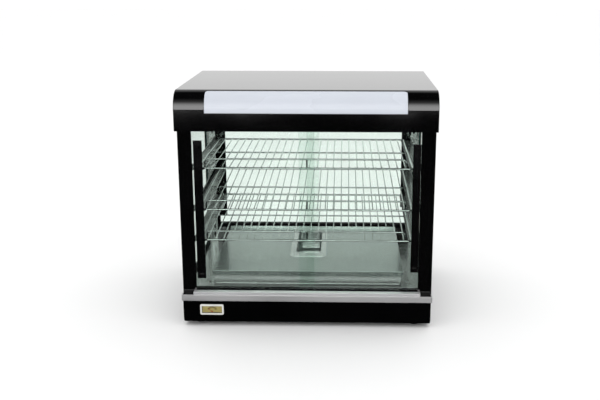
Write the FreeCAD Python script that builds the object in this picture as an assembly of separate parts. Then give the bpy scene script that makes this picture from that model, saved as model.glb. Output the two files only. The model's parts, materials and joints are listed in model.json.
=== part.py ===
import FreeCAD, Part
import math
import os

# Heated food display cabinet: a black base with the heaters and controls, four corner posts with
# glass sides, sliding glass doors at the front and the rear, three wire shelves over a floor tray
# with a water pan, and a hood with a lamp and a curved sign panel.
# Millimetres. Origin: centre of the footprint at the underside of the feet.
# +X is the right side seen from the front, the front faces -Y, +Z is up.
# "Depth" values below are distances behind the front face; rear parts mirror the front ones.

V = FreeCAD.Vector

# ---- overall ----
WIDTH = 660.0
DEPTH = 510.0
HEIGHT = 622.0
GAP = 0.3                       # free gap between pieces that move against each other

# ---- base ----
FOOT_HEIGHT = 8.0
FOOT_RADIUS = 16.0
FOOT_X = 285.0
FOOT_DEPTH = 45.0
BASE_WIDTH = 650.0
BASE_INSET = 3.0                # base front behind the trim front
BASE_TOP = 88.5
BASE_SHEET = 1.5
BASE_EDGE_RADIUS = 18.0         # rounded lower front edge
BASE_MOUTH_X = 262.0            # half width of the opening in the base top
BASE_MOUTH_DEPTH = 60.0
END_RADIUS = 1.5                # soft edges at the ends of the hood and the base
TRIM_HEIGHT = 16.5
TRIM_SHEET = 3.0
PANEL_DEPTH = 488.0             # control panel, recessed into the rear of the base
SCREW_RADIUS = 2.0
SCREW_HEAD_RADIUS = 4.0

# ---- body frame ----
BODY_WIDTH = 654.0
BODY_INSET = 20.0               # post faces behind the hood front
POST_FACE = 36.5
POST_SIDE = 38.0
POST_SHEET = 2.0
POST_RADIUS = 4.0
POST_TOP = 545.0
GLASS = 4.0
CHANNEL_HEIGHT = 12.0
STRIP_HALF = 297.0
STRIP_DEPTH = (3.2, 19.8)
STRIP_HEIGHT = 7.0

# ---- sliding doors and their tracks ----
TRACK_DEPTH = (24.0, 45.0)
TRACK_HALF = 320.0
TRACK_TOP = 97.0                # front lower track
REAR_RISE = 52.5                # the rear track stands this much higher, on a sill
GROOVE_OUTER = 29.0             # mid depth of the outer pane
GROOVE_INNER = 40.0
GROOVE_HALF = 2.6
GROOVE_BOTTOM = 91.5
UPPER_TRACK = (519.0, 543.0)
DOOR_BOTTOM = 93.0
DOOR_TOP = 533.0
DOOR_SIDE = 303.0               # outer door edge from the middle plane
DOOR_LAP = 19.0                 # inner door edge past the middle plane
GRIP_FACE = 5.0                 # grip thickness
LEFT_GRIP = {"x": (-289.5, -267.0), "z": (123.0, 493.0)}
RIGHT_GRIP = {"x": (270.5, 290.5), "z": (147.5, 487.5)}

# ---- chamber floor ----
DECK_HALF = 319.5
DECK_DEPTH = (47.0, 463.0)
DECK_SHEET = 1.5
DECK_SCREW_X = 269.0            # beside the heater box
TRAY_HALF = 255.0
TRAY_DEPTH = (58.0, 457.0)
TRAY_TOP = 137.0
TRAY_SHEET = 1.5
TRAY_LIP = 14.0
TRAY_UPSTAND = 7.0
HEATER_BOX_HALF = 250.0
HEATER_BOX_DEPTH = (64.0, 449.0)
HEATER_TUBE = 4.0
HEATER_LEGS = (110.0, 200.0)    # the two legs of each hairpin, from the middle plane
HEATER_Z = 106.0
BEAD_Z = 100.0
WIRE = 1.3                      # radius of an insulated wire
WIRE_HOLE = 3.0
WIRE_DROP = 457.5               # depth at which the heater wires go down into the base
PAN_X = -4.0                    # the loose pan sits a little left of the middle
PAN_HALF = 50.0
PAN_DEPTH = (176.0, 434.0)
BOWL_HALF = 36.5
BOWL_DEPTH = (210.0, 424.0)
BOWL_FLOOR = 80.0
PAN_SHEET = 1.2

# ---- shelves ----
SHELF_WIDTH = 556.0
SHELF_SHIFT = -4.0              # the loose shelves sit a little left of the middle
SHELF_DEPTH = (52.0, 456.0)
FRAME_WIRE = 2.5
CROSS_WIRE = 1.5
CROSS_COUNT = 26
GUARD_WIRE = 2.2
GUARD_HEIGHT = 24.5
GUARD_HALF = 259.0
GUARD_BEND = 9.0
SHELVES = {                     # height of the front wire and rise to the rear wire
    "top": (417.5, 0.0),
    "middle": (307.5, 21.0),
    "bottom": (224.5, 21.0),
}
RAIL_X = (266.0, 296.0)
RAIL_SHEET = 1.5
EAR_X = (294.5, 312.0)
UPRIGHT_X = (296.5, 319.5)
UPRIGHT_DEPTH = 48.0
SLOT_X = 305.0
SLOT_PITCH = 27.5
SLOT_FIRST = 114.75
SLOT_COUNT = 16

# ---- hood ----
HOOD_BOTTOM = 522.5
HOOD_SHEET = 2.0
HOOD_FRONT_RADIUS = 45.0
HOOD_REAR_RADIUS = 42.0
SIGN_HALF = 252.5
SIGN_BOTTOM = 568.0
SIGN_ANGLE = 74.0               # how far the sign runs up round the front curve
SIGN_CORNER = 9.0
LAMP_DEPTH = 80.0
LAMP_Z = 588.0
LAMP_HALF = 240.0

# ---- thermometer in the base front ----
GAUGE_X = -249.5
GAUGE_Z = 47.5
GAUGE_SIZE = (62.0, 29.0)
GAUGE_WINDOW = (53.0, 19.5)

# ---- controls on the rear panel, as (x, z) ----
KNOB_AT = (170.0, 47.0)
POWER_AT = (90.0, 47.0)
LAMP_AT = (40.0, 47.0)
PILOT_AT = (-10.0, 47.0)
GLAND_AT = (-230.0, 40.0)
TERMINAL_X = (-254.0, -238.0, -222.0, -206.0)
TERMINAL_DEPTH = 441.0
KNOB_RADIUS = 19.0
ROCKER = (13.0, 24.0)


# ---------------------------------------------------------------- helpers

def behind(depth):
    """Y of a plane the given distance behind the front face."""
    return depth - DEPTH / 2


def block(x, depth, z):
    """Box from three (low, high) pairs; the second pair is in distances behind the front."""
    corner = V(x[0], behind(depth[0]), z[0])
    return Part.makeBox(x[1] - x[0], depth[1] - depth[0], z[1] - z[0], corner)


def wide(half, depth, z):
    """Box centred on the middle plane."""
    return block((-half, half), depth, z)


def disc(radius, length, start, axis):
    return Part.makeCylinder(radius, length, start, axis)


def mirror_x(shape):
    return shape.mirror(V(0, 0, 0), V(1, 0, 0))


def mirror_y(shape):
    return shape.mirror(V(0, 0, 0), V(0, 1, 0))


def four_corners(shape):
    pair = [shape, mirror_x(shape)]
    return pair + [mirror_y(piece) for piece in pair]


def upright_edges(shape):
    """The vertical edges of a shape."""
    return [e for e in shape.Edges if abs(e.tangentAt(e.FirstParameter).z) > 0.99]


def rounded_block(x, depth, z, radius):
    solid = block(x, depth, z)
    return solid.makeFillet(radius, upright_edges(solid))


def rounded_plate(centre, size, depth, radius):
    """Plate facing the front, with rounded corners."""
    half_w, half_h = size[0] / 2, size[1] / 2
    solid = block((centre[0] - half_w, centre[0] + half_w), depth,
                  (centre[1] - half_h, centre[1] + half_h))
    edges = [e for e in solid.Edges if abs(e.tangentAt(e.FirstParameter).y) > 0.99]
    return solid.makeFillet(radius, edges)


def bent_rod(points, radius, bend):
    """Round bar along straight runs joined by tangent arcs of one bend radius."""
    edges = []
    start = points[0]
    for before, corner, after in zip(points, points[1:], points[2:]):
        into = (corner - before).normalize()
        out = (after - corner).normalize()
        turn = into.getAngle(out)
        reach = bend * math.tan(turn / 2)
        first = corner - into * reach
        last = corner + out * reach
        side = (out - into).normalize()
        middle = corner + side * (bend / math.cos(turn / 2) - bend)
        edges.append(Part.LineSegment(start, first).toShape())
        edges.append(Part.Arc(first, middle, last).toShape())
        start = last
    edges.append(Part.LineSegment(start, points[-1]).toShape())
    path = Part.Wire(edges)
    heading = (points[1] - points[0]).normalize()
    ring = Part.Wire([Part.makeCircle(radius, points[0], heading)])
    return path.makePipeShell([ring], True, False)


def soft_ends(solid, half_width):
    """Rounds the edges round both end faces of a profile extruded across the width."""
    edges = [e for e in solid.Edges if abs(abs(e.CenterOfMass.x) - half_width) < 0.01
             and not is_open_side(e, solid.BoundBox)]
    return solid.makeFillet(END_RADIUS, edges)


def is_open_side(edge, bounds):
    """The hood is open below and the base at the back and the top, so those edges stay sharp."""
    spot = edge.CenterOfMass
    if bounds.ZMin > BASE_TOP:
        return abs(spot.z - bounds.ZMin) < 0.01
    return abs(spot.z - bounds.ZMax) < 0.01 or abs(spot.y - bounds.YMax) < 0.01


def straight_rod(start, end, radius):
    return disc(radius, (end - start).Length, start, end - start)


def screw(at, axis, length):
    """Pan-head screw: the head stands on the point, the shank runs the other way."""
    axis = V(axis).normalize()
    head = disc(SCREW_HEAD_RADIUS, 2.2, at, axis)
    rim = [e for e in head.Edges if e.Length > 20 and (e.CenterOfMass - at).Length > 1]
    head = head.makeFillet(1.2, rim)
    shank = disc(SCREW_RADIUS, length, at, axis * -1)
    return head.fuse(shank).removeSplitter()


def screw_hole(at, axis, length):
    axis = V(axis).normalize()
    return disc(SCREW_RADIUS + 0.1, length + 4, at + axis * 2, axis * -1)


# ---------------------------------------------------------------- hood

def hood_section(inset, bottom, half_width):
    """Hood outline in side view, moved inwards by inset and extruded across the width."""
    front, rear = behind(inset), behind(DEPTH - inset)
    top = HEIGHT - inset
    rf, rr = HOOD_FRONT_RADIUS - inset, HOOD_REAR_RADIUS - inset
    c45 = math.sqrt(0.5)
    x = -half_width
    a, b = V(x, front, bottom), V(x, front, top - rf)
    c = V(x, front + rf, top)
    d, e = V(x, rear - rr, top), V(x, rear, top - rr)
    f = V(x, rear, bottom)
    front_mid = V(x, front + rf - rf * c45, top - rf + rf * c45)
    rear_mid = V(x, rear - rr + rr * c45, top - rr + rr * c45)
    outline = Part.Wire([
        Part.LineSegment(a, b).toShape(), Part.Arc(b, front_mid, c).toShape(),
        Part.LineSegment(c, d).toShape(), Part.Arc(d, rear_mid, e).toShape(),
        Part.LineSegment(e, f).toShape(), Part.LineSegment(f, a).toShape()])
    return Part.Face(outline).extrude(V(2 * half_width, 0, 0))


def sign_wedge(grow):
    """Block that cuts the sign opening out of the curved hood front."""
    half = SIGN_HALF + grow
    centre = V(-half, behind(HOOD_FRONT_RADIUS), HEIGHT - HOOD_FRONT_RADIUS)
    angle = math.radians(SIGN_ANGLE) + grow / HOOD_FRONT_RADIUS
    far = 2 * HOOD_FRONT_RADIUS
    top = centre + V(0, -far * math.cos(angle), far * math.sin(angle))
    corners = [centre, top, V(-half, behind(-far), top.z),
               V(-half, behind(-far), SIGN_BOTTOM - grow),
               V(-half, centre.y, SIGN_BOTTOM - grow)]
    wedge = Part.Face(Part.makePolygon(corners + [centre])).extrude(V(2 * half, 0, 0))
    ends = [e for e in wedge.Edges
            if abs(e.tangentAt(e.FirstParameter).x) < 0.01 and e.CenterOfMass.z > centre.z + 5
            and abs(e.Length - far) < 0.01]
    return wedge.makeFillet(SIGN_CORNER, ends)


def hood_shell():
    outer = soft_ends(hood_section(0, HOOD_BOTTOM, WIDTH / 2), WIDTH / 2)
    inner = hood_section(HOOD_SHEET, HOOD_BOTTOM - 1, WIDTH / 2 - HOOD_SHEET)
    shell = outer.cut(inner).cut(sign_wedge(0))
    shell = shell.cut(wide(270, (DEPTH - 5, DEPTH + 5), (536, 572)))
    for at, axis in hood_panel_screws():
        shell = shell.cut(screw_hole(at, axis, 6))
    return shell.removeSplitter()


def hood_panel_screws():
    y = behind(DEPTH - HOOD_SHEET - 1.2)
    spots = [(x, z) for x in (-276, 0, 276) for z in (532.5, 575.0)]
    return [(V(x, y, z), V(0, -1, 0)) for x, z in spots]


def hood_rear_panel():
    depth = (DEPTH - HOOD_SHEET - 1.2, DEPTH - HOOD_SHEET)
    plate = wide(282, depth, (528.5, 579))
    for row in range(3):
        for column in range(9):
            x, z = -240 + 60 * column, 543 + 9.5 * row
            plate = plate.cut(block((x - 22, x + 22), (DEPTH - 9, DEPTH + 1), (z, z + 3.2)))
    for at, axis in hood_panel_screws():
        plate = plate.cut(screw_hole(at, axis, 6))
    return plate


def sign_panel():
    """Milky lens: its face fills the opening, its flange lies behind the hood sheet."""
    half = SIGN_HALF + 9
    face = hood_section(0.5, HOOD_BOTTOM, half).cut(hood_section(2.1, HOOD_BOTTOM - 1, half))
    flange = hood_section(2.05, HOOD_BOTTOM, half).cut(hood_section(4, HOOD_BOTTOM - 1, half))
    lens = face.common(sign_wedge(-0.4)).fuse(flange.common(sign_wedge(7)))
    return lens.removeSplitter()


def ceiling_panel():
    """Plate over the chamber, on the posts, with a window for the lamp's light."""
    plate = wide(BODY_WIDTH / 2 - 0.5, (22, DEPTH - 22), (POST_TOP, POST_TOP + 1.5))
    plate = plate.cut(wide(LAMP_HALF - 5, (LAMP_DEPTH - 30, LAMP_DEPTH + 30), (500, 600)))
    for x, depth in LAMP_FEET:
        plate = plate.cut(disc(SCREW_RADIUS + 0.1, 10, V(x, behind(depth), POST_TOP - 4), V(0, 0, 1)))
    return plate


LAMP_FEET = [(side * (LAMP_HALF + 8), LAMP_DEPTH + 36) for side in (-1, 1)]
BALLAST_FEET = [(side * 88, 200) for side in (-1, 1)]


def lamp_tube():
    axis = V(1, 0, 0)
    start = V(-LAMP_HALF, behind(LAMP_DEPTH), LAMP_Z)
    glass = disc(8, 2 * LAMP_HALF, start, axis)
    for x in (-LAMP_HALF, LAMP_HALF - 12):
        glass = glass.fuse(disc(8.4, 12, V(x, start.y, start.z), axis))
    for x in (-LAMP_HALF - 6, LAMP_HALF - 1):
        for dz in (-2.5, 2.5):
            glass = glass.fuse(disc(1.1, 7, V(x, start.y, start.z + dz), axis))
    return glass.removeSplitter()


def lamp_holders():
    """Two sockets on folded feet; the tube's pins sit in a slot open at the top."""
    floor = POST_TOP + 1.5
    end, mid = LAMP_HALF, LAMP_DEPTH
    foot = block((end + 1, end + 15), (mid - 12, mid + 42), (floor, floor + 2))
    tower = block((end + 0.5, end + 12), (mid - 12, mid + 12), (floor, LAMP_Z + 10))
    slot = block((end, end + 7), (mid - 1.4, mid + 1.4), (LAMP_Z - 4, LAMP_Z + 12))
    holder = foot.fuse(tower).cut(slot)
    x, depth = LAMP_FEET[1]
    holder = holder.cut(disc(SCREW_RADIUS + 0.1, 10, V(x, behind(depth), floor - 3), V(0, 0, 1)))
    holder = holder.removeSplitter()
    return [holder, mirror_x(holder)]


def lamp_ballast():
    floor = POST_TOP + 1.5
    case = wide(75, (182, 218), (floor, floor + 26))
    case = case.makeFillet(3, upright_edges(case))
    body = case.fuse(wide(98, (186, 214), (floor, floor + 1.5)))
    for x, depth in BALLAST_FEET:
        body = body.cut(disc(SCREW_RADIUS + 0.1, 10, V(x, behind(depth), floor - 3), V(0, 0, 1)))
    return body.removeSplitter()


# ---------------------------------------------------------------- posts, glass and strips

def front_left_post():
    half = BODY_WIDTH / 2
    z = (BASE_TOP, POST_TOP)
    outer = block((-half, -half + POST_FACE), (BODY_INSET, BODY_INSET + POST_SIDE), z)
    inner = block((-half + POST_SHEET, -half + POST_FACE + 1),
                  (BODY_INSET + POST_SHEET, BODY_INSET + POST_SIDE + 1), z)
    corner = [e for e in upright_edges(outer)
              if e.CenterOfMass.x < -half + 1 and e.CenterOfMass.y < behind(BODY_INSET + 1)]
    outer = outer.makeFillet(POST_RADIUS, corner)
    corner = [e for e in upright_edges(inner)
              if e.CenterOfMass.x < -half + 3 and e.CenterOfMass.y < behind(BODY_INSET + 3)]
    inner = inner.makeFillet(POST_RADIUS - POST_SHEET, corner)
    return outer.cut(inner)


def left_side_glass():
    outer = BODY_WIDTH / 2 - POST_SHEET
    edge = BODY_INSET + POST_RADIUS + 1
    pane = block((-outer, -outer + GLASS), (edge, DEPTH - edge), (BASE_TOP + 2.2, POST_TOP - 2))
    return pane


def side_channels():
    """Rubber-lined channels that the side panes stand in, between the posts."""
    half = BODY_WIDTH / 2
    reach = BODY_INSET + POST_SIDE + 0.3
    depth = (reach, DEPTH - reach)
    body = block((-half, -half + 7.3), depth, (BASE_TOP, BASE_TOP + CHANNEL_HEIGHT))
    slot = block((-half + POST_SHEET - 0.1, -half + POST_SHEET + GLASS + 0.1),
                 (reach - 1, DEPTH - reach + 1), (BASE_TOP + 2, BASE_TOP + CHANNEL_HEIGHT + 1))
    channel = body.cut(slot)
    return [channel, mirror_x(channel)]


def front_sill_strip():
    """Bright angle strip on the ledge in front of the lower track."""
    z = (BASE_TOP, BASE_TOP + STRIP_HEIGHT)
    near, far = STRIP_DEPTH
    angle = wide(STRIP_HALF, STRIP_DEPTH, z)
    return angle.cut(wide(STRIP_HALF + 1, (near + 1.5, far + 1), (z[0] - 1, z[1] - 1.5)))


# ---------------------------------------------------------------- doors

def track(z, groove_z):
    """Double channel for the two panes of one door pair."""
    body = wide(TRACK_HALF, TRACK_DEPTH, z)
    for middle in (GROOVE_OUTER, GROOVE_INNER):
        depth = (middle - GROOVE_HALF, middle + GROOVE_HALF)
        body = body.cut(wide(TRACK_HALF + 1, depth, groove_z))
    return body


def lower_track(rise):
    top = TRACK_TOP + rise
    bottom = BASE_TOP if rise == 0 else top - 13
    return track((bottom, top), (GROOVE_BOTTOM + rise, top + 1))


def upper_track():
    return track(UPPER_TRACK, (UPPER_TRACK[0] - 1, DOOR_TOP + 4))


def rear_sill():
    """Folded channel that lifts the rear track over the edge of the floor tray."""
    top = TRACK_TOP + REAR_RISE - 13
    body = wide(TRACK_HALF, TRACK_DEPTH, (BASE_TOP, top))
    hollow = wide(TRACK_HALF + 1, (TRACK_DEPTH[0] + 1.5, TRACK_DEPTH[1] - 1.5), (BASE_TOP - 1, top - 1.5))
    return mirror_y(body.cut(hollow))


def door_glass(left, rise):
    middle = GROOVE_INNER if left else GROOVE_OUTER
    x = (-DOOR_SIDE, DOOR_LAP) if left else (-DOOR_LAP, DOOR_SIDE)
    pane = block(x, (middle - GLASS / 2, middle + GLASS / 2), (DOOR_BOTTOM + rise, DOOR_TOP))
    return pane.makeFillet(1.0, upright_edges(pane))


def door_grip(left, rise):
    """Finger pull on the outer face of a pane, with a shallow groove along it."""
    grip = LEFT_GRIP if left else RIGHT_GRIP
    face = (GROOVE_INNER if left else GROOVE_OUTER) - GLASS / 2
    x, z = grip["x"], (grip["z"][0] + rise, grip["z"][1])
    bar = block(x, (face - GRIP_FACE + 0.5, face), z)
    edges = [e for e in upright_edges(bar) if e.CenterOfMass.y < behind(face - 2)]
    bar = bar.makeFillet(1.2, edges)
    groove_depth = (face - GRIP_FACE, face - GRIP_FACE + 2.5)
    groove = block((x[0] + 5, x[1] - 5), groove_depth, (z[0] + 12, z[1] - 12))
    return bar.cut(groove)


# ---------------------------------------------------------------- shelves

def tilt(shape, front_z, rise):
    angle = math.degrees(math.atan2(rise, SHELF_DEPTH[1] - SHELF_DEPTH[0]))
    turned = shape.copy()
    turned.rotate(V(0, behind(SHELF_DEPTH[0]), front_z), V(1, 0, 0), angle)
    return turned


def wire_shelf(front_z, rise):
    near, far = behind(SHELF_DEPTH[0]), behind(SHELF_DEPTH[1])
    left, right = SHELF_SHIFT - SHELF_WIDTH / 2, SHELF_SHIFT + SHELF_WIDTH / 2
    middle_x = SHELF_SHIFT
    frame = bent_rod([V(middle_x, near, front_z), V(right, near, front_z), V(right, far, front_z),
                      V(left, far, front_z), V(left, near, front_z), V(middle_x, near, front_z)],
                     FRAME_WIRE, 8.0)
    parts = []
    pitch = SHELF_WIDTH / (CROSS_COUNT + 1)
    cross_z = front_z + FRAME_WIRE + CROSS_WIRE - 0.8
    for i in range(1, CROSS_COUNT + 1):
        x = left + i * pitch
        parts.append(straight_rod(V(x, near - 1, cross_z), V(x, far + 1, cross_z), CROSS_WIRE))
    middle_z = cross_z - CROSS_WIRE - 2 + 0.8
    middle_y = (near + far) / 2
    parts.append(straight_rod(V(left, middle_y, middle_z), V(right, middle_y, middle_z), 2.0))
    top = front_z + GUARD_HEIGHT
    ends = (middle_x - GUARD_HALF, middle_x + GUARD_HALF)
    parts.append(bent_rod([V(ends[0], near, front_z), V(ends[0], near, top), V(ends[1], near, top),
                           V(ends[1], near, front_z)], GUARD_WIRE, GUARD_BEND))
    parts.append(straight_rod(V(middle_x + 4, near, front_z), V(middle_x + 4, near, top), GUARD_WIRE))
    return tilt(frame.multiFuse(parts), front_z, rise)


def shelf_rails():
    return [rail for front_z, rise in SHELVES.values() for rail in rail_pair(front_z, rise)]


def rail_pair(front_z, rise):
    """Pair of angle rails under one shelf, with ears that screw to the uprights."""
    top = front_z - FRAME_WIRE - GAP
    near, far = UPRIGHT_DEPTH + RAIL_SHEET + 0.1, DEPTH - UPRIGHT_DEPTH - RAIL_SHEET - 0.1
    run = (near + 1.0, far - 1.0)
    flange = block(RAIL_X, run, (top - RAIL_SHEET, top))
    web = block((RAIL_X[1] - RAIL_SHEET, RAIL_X[1]), run, (top - RAIL_SHEET, top + 12))
    rail = tilt(flange.fuse(web), front_z, rise)
    for depth, z in rail_ears(front_z, rise):
        rail = rail.fuse(block(EAR_X, depth, (z - 9, z + 9)))
        middle = (depth[0] + depth[1]) / 2
        rail = rail.cut(disc(SCREW_RADIUS + 0.1, 12, V(SLOT_X, behind(middle - 6), z), V(0, 1, 0)))
    rail = rail.removeSplitter()
    return [rail, mirror_x(rail)]


def rail_ears(front_z, rise):
    """Depth range and mid height of the front and rear ear of a rail."""
    near = UPRIGHT_DEPTH + RAIL_SHEET + 0.1
    far = DEPTH - near
    z = front_z + 3
    return [((near, near + RAIL_SHEET), z), ((far - RAIL_SHEET, far), z + rise)]


def shelf_uprights():
    """Four slotted strips that carry the rails, standing on the deck inside the corner posts."""
    z = (BASE_TOP + DECK_SHEET, POST_TOP)
    face = block(UPRIGHT_X, (UPRIGHT_DEPTH, UPRIGHT_DEPTH + RAIL_SHEET), z)
    side = block((UPRIGHT_X[1] - RAIL_SHEET, UPRIGHT_X[1]), (UPRIGHT_DEPTH, UPRIGHT_DEPTH + 14), z)
    strip = face.fuse(side)
    for i in range(SLOT_COUNT):
        z_mid = SLOT_FIRST + i * SLOT_PITCH
        width = (SLOT_X - 2.3, SLOT_X + 2.3)
        depth = (UPRIGHT_DEPTH - 1, UPRIGHT_DEPTH + 3)
        strip = strip.cut(block(width, depth, (z_mid - 9, z_mid + 9)))
    return four_corners(strip.removeSplitter())


def rail_screws():
    screws = []
    for front_z, rise in SHELVES.values():
        (front, z_front), (rear, z_rear) = rail_ears(front_z, rise)
        for x in (-SLOT_X, SLOT_X):
            screws.append(screw(V(x, behind(front[1]), z_front), V(0, 1, 0), 5))
            screws.append(screw(V(x, behind(rear[0]), z_rear), V(0, -1, 0), 5))
    return screws


# ---------------------------------------------------------------- base

def base_section(inset, half_width, top):
    """Base outline in side view with its rounded lower front edge."""
    front = behind(BASE_INSET + inset)
    rear = behind(DEPTH - BASE_INSET)
    bottom = FOOT_HEIGHT + inset
    r = BASE_EDGE_RADIUS - inset
    c45 = math.sqrt(0.5)
    x = -half_width
    a, b = V(x, front, top), V(x, front, bottom + r)
    c = V(x, front + r, bottom)
    middle = V(x, front + r - r * c45, bottom + r - r * c45)
    d, e = V(x, rear, bottom), V(x, rear, top)
    outline = Part.Wire([
        Part.LineSegment(a, b).toShape(), Part.Arc(b, middle, c).toShape(),
        Part.LineSegment(c, d).toShape(), Part.LineSegment(d, e).toShape(),
        Part.LineSegment(e, a).toShape()])
    return Part.Face(outline).extrude(V(2 * half_width, 0, 0))


def base_shell():
    half = BASE_WIDTH / 2
    outer = soft_ends(base_section(0, half, BASE_TOP), half)
    inner = base_section(BASE_SHEET, half - BASE_SHEET, BASE_TOP - BASE_SHEET)
    shell = outer.cut(inner)
    mouth = wide(BASE_MOUTH_X, (BASE_MOUTH_DEPTH, DEPTH - BASE_MOUTH_DEPTH), (BASE_TOP - 5, BASE_TOP + 5))
    gauge_hole = rounded_plate((GAUGE_X, GAUGE_Z), (55.2, 21.6), (-5, 10), 1.0)
    shell = shell.cut(mouth).cut(gauge_hole)
    for at, axis in deck_screws() + foot_screws():
        shell = shell.cut(screw_hole(at, axis, 6))
    return shell.cut(wire_holes())


def foot_spots():
    return [(x, depth) for x in (-FOOT_X, FOOT_X) for depth in (FOOT_DEPTH, DEPTH - FOOT_DEPTH)]


def foot_screws():
    z = FOOT_HEIGHT + BASE_SHEET
    return [(V(x, behind(depth), z), V(0, 0, 1)) for x, depth in foot_spots()]


def feet():
    group = []
    for x, depth in foot_spots():
        base = V(x, behind(depth), 0)
        foot = Part.makeCone(FOOT_RADIUS - 2, FOOT_RADIUS, FOOT_HEIGHT, base, V(0, 0, 1))
        foot = foot.cut(disc(SCREW_RADIUS + 0.1, FOOT_HEIGHT, base + V(0, 0, 1.5), V(0, 0, 1)))
        group.append(foot)
    return group


def trim_band():
    """Bright band round the front and both sides of the base top."""
    half = BASE_WIDTH / 2
    z = (BASE_TOP - TRIM_HEIGHT, BASE_TOP)
    outer = wide(half + TRIM_SHEET, (0, DEPTH - BASE_INSET), z)
    front = [e for e in upright_edges(outer) if e.CenterOfMass.y < 0]
    outer = outer.makeFillet(2.0, front)
    return outer.cut(wide(half, (BASE_INSET, DEPTH), (z[0] - 1, z[1] + 1)))


def control_panel():
    half = BASE_WIDTH / 2 - BASE_SHEET
    plate = wide(half - 0.2, (PANEL_DEPTH, PANEL_DEPTH + 1.5), (FOOT_HEIGHT + 1.7, BASE_TOP - 1.7))
    y = V(0, 1, 0)
    for at, radius in ((KNOB_AT, 5.2), (PILOT_AT, 5.1), (GLAND_AT, 8.1)):
        plate = plate.cut(disc(radius, 20, V(at[0], behind(PANEL_DEPTH - 9), at[1]), y))
    through = (PANEL_DEPTH - 5, PANEL_DEPTH + 5)
    for at in (POWER_AT, LAMP_AT):
        plate = plate.cut(rounded_plate(at, (ROCKER[0] + 2.4, ROCKER[1] + 2.4), through, 0.5))
    for x in (-285, -140, 130, 285):
        plate = plate.cut(block((x - 18, x + 18), through, (69, 71.5)))
        plate = plate.cut(block((x - 18, x + 18), through, (75, 77.5)))
    for at, axis in control_panel_screws():
        plate = plate.cut(screw_hole(at, axis, 6))
    return plate


def control_panel_screws():
    y = behind(PANEL_DEPTH + 1.5)
    return [(V(x, y, z), V(0, 1, 0)) for x in (-312, 312) for z in (22, 76)]


def deck_plate():
    """Bright plate over the base opening; the water pan hangs through its hole."""
    plate = wide(DECK_HALF, DECK_DEPTH, (BASE_TOP, BASE_TOP + DECK_SHEET))
    plate = plate.cut(wide(60, (195, 440), (BASE_TOP - 5, BASE_TOP + 5)))
    for at, axis in deck_screws():
        plate = plate.cut(screw_hole(at, axis, 6))
    return plate.cut(wire_holes())


def wire_holes():
    """Holes through the deck and the base top, one below each heater end."""
    y, z = behind(WIRE_DROP), BASE_TOP - 6
    return Part.makeCompound([disc(WIRE_HOLE, 12, V(x, y, z), V(0, 0, 1)) for x in heater_ends()])


def deck_screws():
    z = BASE_TOP + DECK_SHEET
    spots = [(x, depth) for x in (-DECK_SCREW_X, DECK_SCREW_X) for depth in (100, DEPTH - 100)]
    return [(V(x, behind(depth), z), V(0, 0, 1)) for x, depth in spots]


# ---------------------------------------------------------------- heaters, tray and pan

def heater_box():
    """Upright ring of sheet round the heaters; a bead stiffens its front."""
    z = (BASE_TOP + DECK_SHEET, TRAY_TOP - TRAY_SHEET - GAP)
    half, (near, far) = HEATER_BOX_HALF, HEATER_BOX_DEPTH
    ring = wide(half, HEATER_BOX_DEPTH, z)
    ring = ring.cut(wide(half - 1.2, (near + 1.2, far - 1.2), (z[0] - 1, z[1] + 1)))
    bead = disc(2, 2 * half - 8, V(4 - half, behind(near), BEAD_Z), V(1, 0, 0))
    ring = ring.fuse(bead.common(wide(half, (near - 5, near + 1), z)))
    for x in heater_ends():
        hole = disc(HEATER_TUBE + 0.3, 12, V(x, behind(far - 8), HEATER_Z), V(0, 1, 0))
        ring = ring.cut(hole)
    return ring.removeSplitter()


def heater_ends():
    return [side * leg for side in (-1, 1) for leg in HEATER_LEGS]


def heater_elements():
    near, far = HEATER_LEGS
    bend = (far - near) / 2
    front, rear = behind(90 + bend), behind(HEATER_BOX_DEPTH[1] + 5)
    path = Part.Wire([
        Part.LineSegment(V(near, rear, HEATER_Z), V(near, front, HEATER_Z)).toShape(),
        Part.Arc(V(near, front, HEATER_Z), V(near + bend, front - bend, HEATER_Z),
                 V(far, front, HEATER_Z)).toShape(),
        Part.LineSegment(V(far, front, HEATER_Z), V(far, rear, HEATER_Z)).toShape()])
    ring = Part.Wire([Part.makeCircle(HEATER_TUBE, V(near, rear, HEATER_Z), V(0, -1, 0))])
    hairpin = path.makePipeShell([ring], True, False)
    return [hairpin, mirror_x(hairpin)]


def heater_clips():
    clips = []
    floor = BASE_TOP + DECK_SHEET
    near, far = HEATER_LEGS
    for depth in (170, 390):
        clip = block((near - 12, far + 12), (depth, depth + 2), (floor, HEATER_Z + 3))
        clip = clip.fuse(block((near - 12, far + 12), (depth, depth + 14), (floor, floor + 1.5)))
        for leg in HEATER_LEGS:
            clip = clip.cut(disc(HEATER_TUBE + 0.1, 20, V(leg, behind(depth - 9), HEATER_Z), V(0, 1, 0)))
        clip = clip.removeSplitter()
        clips += [clip, mirror_x(clip)]
    return clips


def floor_tray():
    """Lift-out floor: lips hang down at the front and sides, the rear edge turns up."""
    half, (near, far), top = TRAY_HALF, TRAY_DEPTH, TRAY_TOP
    plate = wide(half, (near, far), (top - TRAY_SHEET, top))
    lips = wide(half, (near, far), (top - TRAY_LIP, top - TRAY_SHEET))
    lips = lips.cut(wide(half - TRAY_SHEET, (near + TRAY_SHEET, far + 1), (top - TRAY_LIP - 1, top)))
    upstand = wide(half, (far - TRAY_SHEET, far), (top - TRAY_SHEET, top + TRAY_UPSTAND))
    tray = plate.fuse(lips).fuse(upstand).removeSplitter()
    hole = rounded_block((PAN_X - BOWL_HALF - 3, PAN_X + BOWL_HALF + 3),
                         (BOWL_DEPTH[0] - 3, BOWL_DEPTH[1] + 3), (top - 5, top + 5), 14)
    return tray.cut(hole)


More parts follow.
